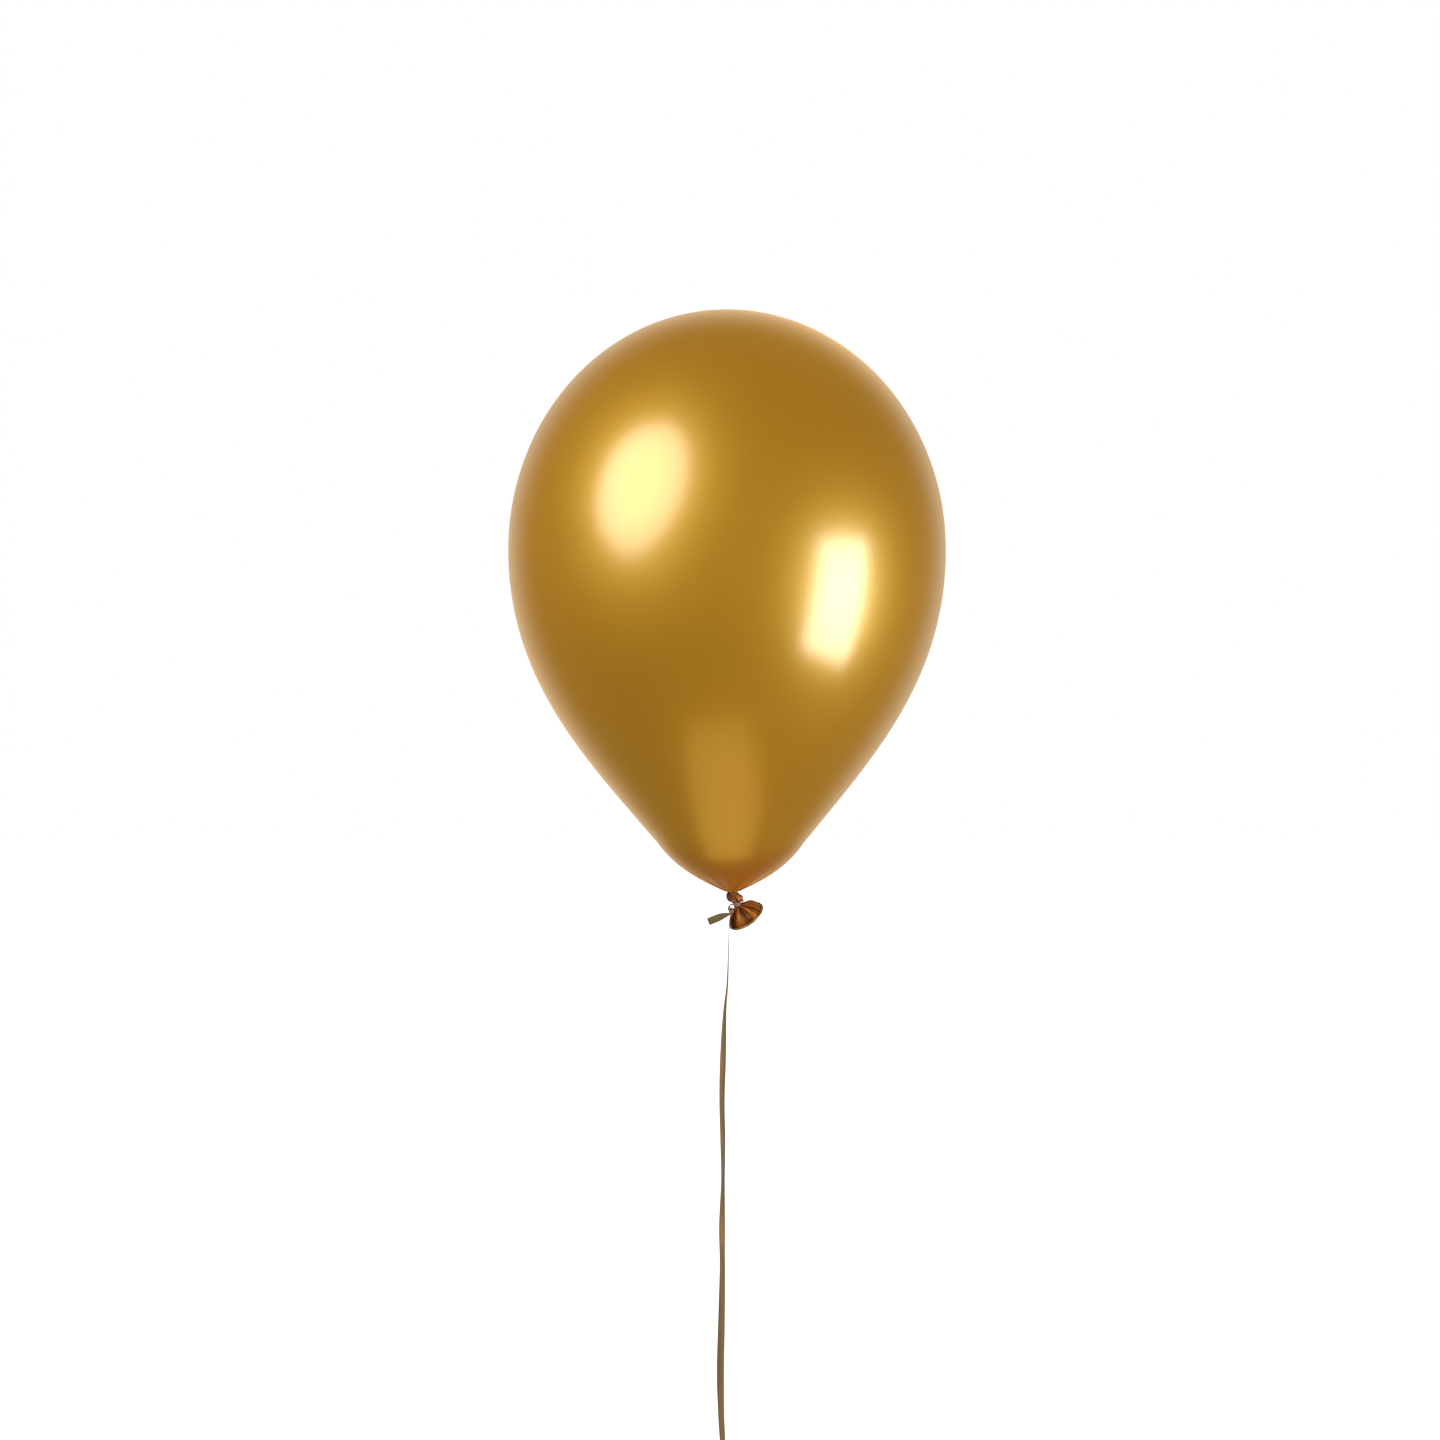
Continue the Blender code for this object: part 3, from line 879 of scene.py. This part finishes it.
# The loop's knot: the ribbon goes once round both strands of the loop and is pulled down on them. The
# strands come out under it, so that the loop can swing. Its way is in millimetres from the joint.
LOOP_KNOT_WAY = (
    (-0.4, 0.2, 3.6),
    (-0.6, -0.9, 2.4),
    (0.9, -1.9, 1.8),
    (2.1, -0.6, 1.5),
    (1.4, 1.5, 1.4),
    (-0.8, 1.8, 1.4),
    (-2.1, 0.5, 1.5),
    (-1.5, -1.6, 1.0),
    (0.3, -2.0, -0.2),
)
ring_middle = way_from(LOOP_AT, LOOP_KNOT_WAY, 0.4 * MM)
ring_facing = [point - LOOP_AT for point in ring_middle]
ring_widths = [(2.3 + 0.3 * math.sin(0.4 * k)) * MM for k in range(len(ring_middle))]
ring_fold = [0.16] * len(ring_middle)
loop_knot = ribbon_band("ribbon_loop_knot", ring_middle, ring_facing, ring_widths, ring_fold)
loop_knot.data.materials.append(knotted_ribbon)
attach(loop_knot, "ribbon")
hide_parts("loop_knot")

# The cut end below the loop's knot hangs in front of the loop with a slight curl.
END_WAY = (
    (0.2, -1.6, -0.6),
    (0.0, -2.9, -2.6),
    (0.1, -3.3, -7.0),
    (0.5, -3.2, -13.0),
    (1.1, -4.0, -21.6),
)
end_middle = way_from(LOOP_AT, END_WAY, 0.5 * MM)
end_count = len(end_middle)
end_facing = [Vector((0.1 + 0.35 * k / end_count, -1, 0.05)) for k in range(end_count)]
end_widths = [RIBBON_WIDTH * (0.4 + 0.58 * fade(k, 0, 0.5 * end_count)) for k in range(end_count)]
end_fold = [0.16 * (1 - fade(k, 0, 0.7 * end_count)) + 0.04 for k in range(end_count)]
loop_end = ribbon_band("ribbon_loop_cut_end", end_middle, end_facing, end_widths, end_fold)
loop_end.data.materials.append(champagne_ribbon)
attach(loop_end, "ribbon")
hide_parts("loop_end")

# ---------------------------------------------------------------- The studio
# A plain white floor and surroundings, two soft boxes, a small card that shines low in the front of
# the balloon, and a camera level with the balloon. The white behind it shows in its edges as a pale
# band; in front and at the sides the room is dim.
FLOOR_HEIGHT = -0.86
FLOOR_SIZE = 40
bpy.ops.object.select_all(action="DESELECT")
bpy.ops.mesh.primitive_plane_add(size=FLOOR_SIZE, location=(0, 0, FLOOR_HEIGHT))
floor = bpy.context.object
floor.name = "studio_floor"
floor_paint, nodes, links = new_material(
    "studio_floor_white",
    {
        "Base Color": (0.9, 0.9, 0.9, 1),
        "Roughness": 0.9,
        "Emission Color": (1, 1, 1, 1),
        "Emission Strength": 0.5,
    },
)
floor.data.materials.append(floor_paint)
floor.visible_glossy = False
floor.visible_diffuse = False

# The white surroundings: full white where the camera looks, a soft fill on every surface, and in
# reflections a room that is bright only at the back. They aren't sampled as a lamp.
SEEN_WHITE = 1.0
SOFT_FILL = 0.95
ROOM_RANGE = {"From Min": 0.50, "From Max": 0.95, "To Min": 0.04, "To Max": 0.62}
surroundings = bpy.data.worlds.new("white_studio")
bpy.context.scene.world = surroundings
surroundings.cycles.sampling_method = "NONE"
surroundings.use_nodes = True
nodes, links = surroundings.node_tree.nodes, surroundings.node_tree.links
nodes.clear()
parts = nodes.new("ShaderNodeSeparateXYZ")
links.new(nodes.new("ShaderNodeTexCoord").outputs["Generated"], parts.inputs[0])
room = map_range(nodes, links, parts.outputs["Y"], ROOM_RANGE, interpolation="SMOOTHSTEP")
ray = nodes.new("ShaderNodeLightPath")
filled = mixed(nodes, links, "FLOAT", ray.outputs["Is Diffuse Ray"], room, SOFT_FILL)
strength = mixed(nodes, links, "FLOAT", ray.outputs["Is Camera Ray"], filled, SEEN_WHITE)
background = nodes.new("ShaderNodeBackground")
background.inputs["Color"].default_value = (1, 1, 1, 1)
links.new(strength, background.inputs["Strength"])
world_out = nodes.new("ShaderNodeOutputWorld")
links.new(background.outputs[0], world_out.inputs["Surface"])

BALLOON_MIDDLE = Vector((0, 0, -0.17))
SHINE_BEHIND = 30 * MM


def soft_box(name, direction, distance, shape, size, powers, colour, roll=0, tip=0):
    """Area lights that look at the balloon, turned in their plane by roll and leant by tip.

    The one for "light" lights the balloon, and the one for "shine", just behind it, shines in it.
    """
    for use, power in powers.items():
        back = SHINE_BEHIND if use == "shine" else 0
        light = bpy.data.lights.new(f"{name}_{use}", "AREA")
        light.shape = shape
        light.size, light.size_y = size
        light.energy = power
        light.color = colour
        box = bpy.data.objects.new(light.name, light)
        bpy.context.scene.collection.objects.link(box)
        box.location = BALLOON_MIDDLE + Vector(direction).normalized() * (distance + back)
        aim = (BALLOON_MIDDLE - box.location).to_track_quat("-Z", "Y").to_matrix()
        lean = Matrix.Rotation(tip, 3, "X") @ Matrix.Rotation(roll, 3, "Z")
        box.rotation_euler = (aim @ lean).to_euler()
        box.visible_camera = False
        box.visible_diffuse = use == "light"
        box.visible_glossy = use == "shine"


soft_box(
    "left_soft_box",
    direction=(-0.671, -0.612, 0.423),
    distance=1.5,
    shape="ELLIPSE",
    size=(1.27, 1.5),
    powers={"light": 19, "shine": 50},
    colour=(1.0, 0.97, 0.86),
    roll=math.radians(-14),
)
soft_box(
    "right_soft_box",
    direction=(0.835, -0.478, -0.259),
    distance=1.5,
    shape="RECTANGLE",
    size=(0.80, 1.06),
    powers={"light": 18, "shine": 54},
    colour=(1.0, 0.98, 0.90),
)
soft_box(
    "pale_card",
    direction=(-0.035, -0.195, -0.59),
    distance=0.60,
    shape="RECTANGLE",
    size=(0.345, 0.40),
    powers={"shine": 0.9},
    colour=(1.0, 0.68, 0.17),
    tip=math.radians(41),
)

CAMERA_PLACE = (-0.0045, -3.0, -0.2624)
CAMERA_LENS = 117.2
camera_data = bpy.data.cameras.new("front_camera")
camera_data.lens = CAMERA_LENS
camera_data.sensor_width = 36
camera = bpy.data.objects.new("front_camera", camera_data)
camera.location = CAMERA_PLACE
camera.rotation_euler = (math.pi / 2, 0, 0)
bpy.context.scene.collection.objects.link(camera)
bpy.context.scene.camera = camera
bpy.context.scene.view_settings.view_transform = "Standard"
